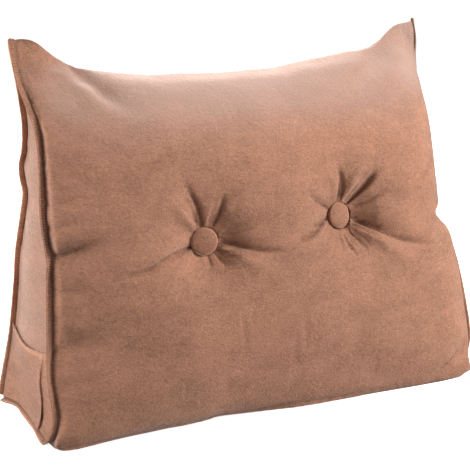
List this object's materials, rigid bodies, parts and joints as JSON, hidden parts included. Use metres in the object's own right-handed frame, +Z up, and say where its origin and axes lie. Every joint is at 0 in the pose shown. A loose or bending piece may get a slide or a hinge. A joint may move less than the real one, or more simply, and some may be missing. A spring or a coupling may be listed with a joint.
{
  "type": "wedge backrest pillow",
  "caption": "Free-standing wedge backrest cushion in suede-like cloth: tufted front with covered buttons, rolled top between pointed ears, flanged gusset seams and a flat side pocket",
  "frame": {"origin": "the middle of the footprint box, at floor level under the base", "axes": "+X runs along the width from the pocket side to the other side, +Y runs from the front towards the back, +Z is up. The tufted front faces -Y."},
  "size_m": [0.6084, 0.2486, 0.463],
  "materials": {
    "suede_cloth": "brushed suede-like nap, tan",
    "suede_edge_cloth": "folded and topstitched edge of the same cloth",
    "suede_button_cloth": "the same cloth drawn tight over a button"
  },
  "bodies": {
    "root": {"cushion": "suede_cloth", "left_front_flange": "suede_edge_cloth", "left_back_flange": "suede_edge_cloth", "left_base_flange": "suede_edge_cloth", "right_front_flange": "suede_edge_cloth", "right_back_flange": "suede_edge_cloth", "right_base_flange": "suede_edge_cloth", "left_button": "suede_button_cloth", "right_button": "suede_button_cloth", "side_pocket": "suede_cloth"}
  },
  "joints": []
}
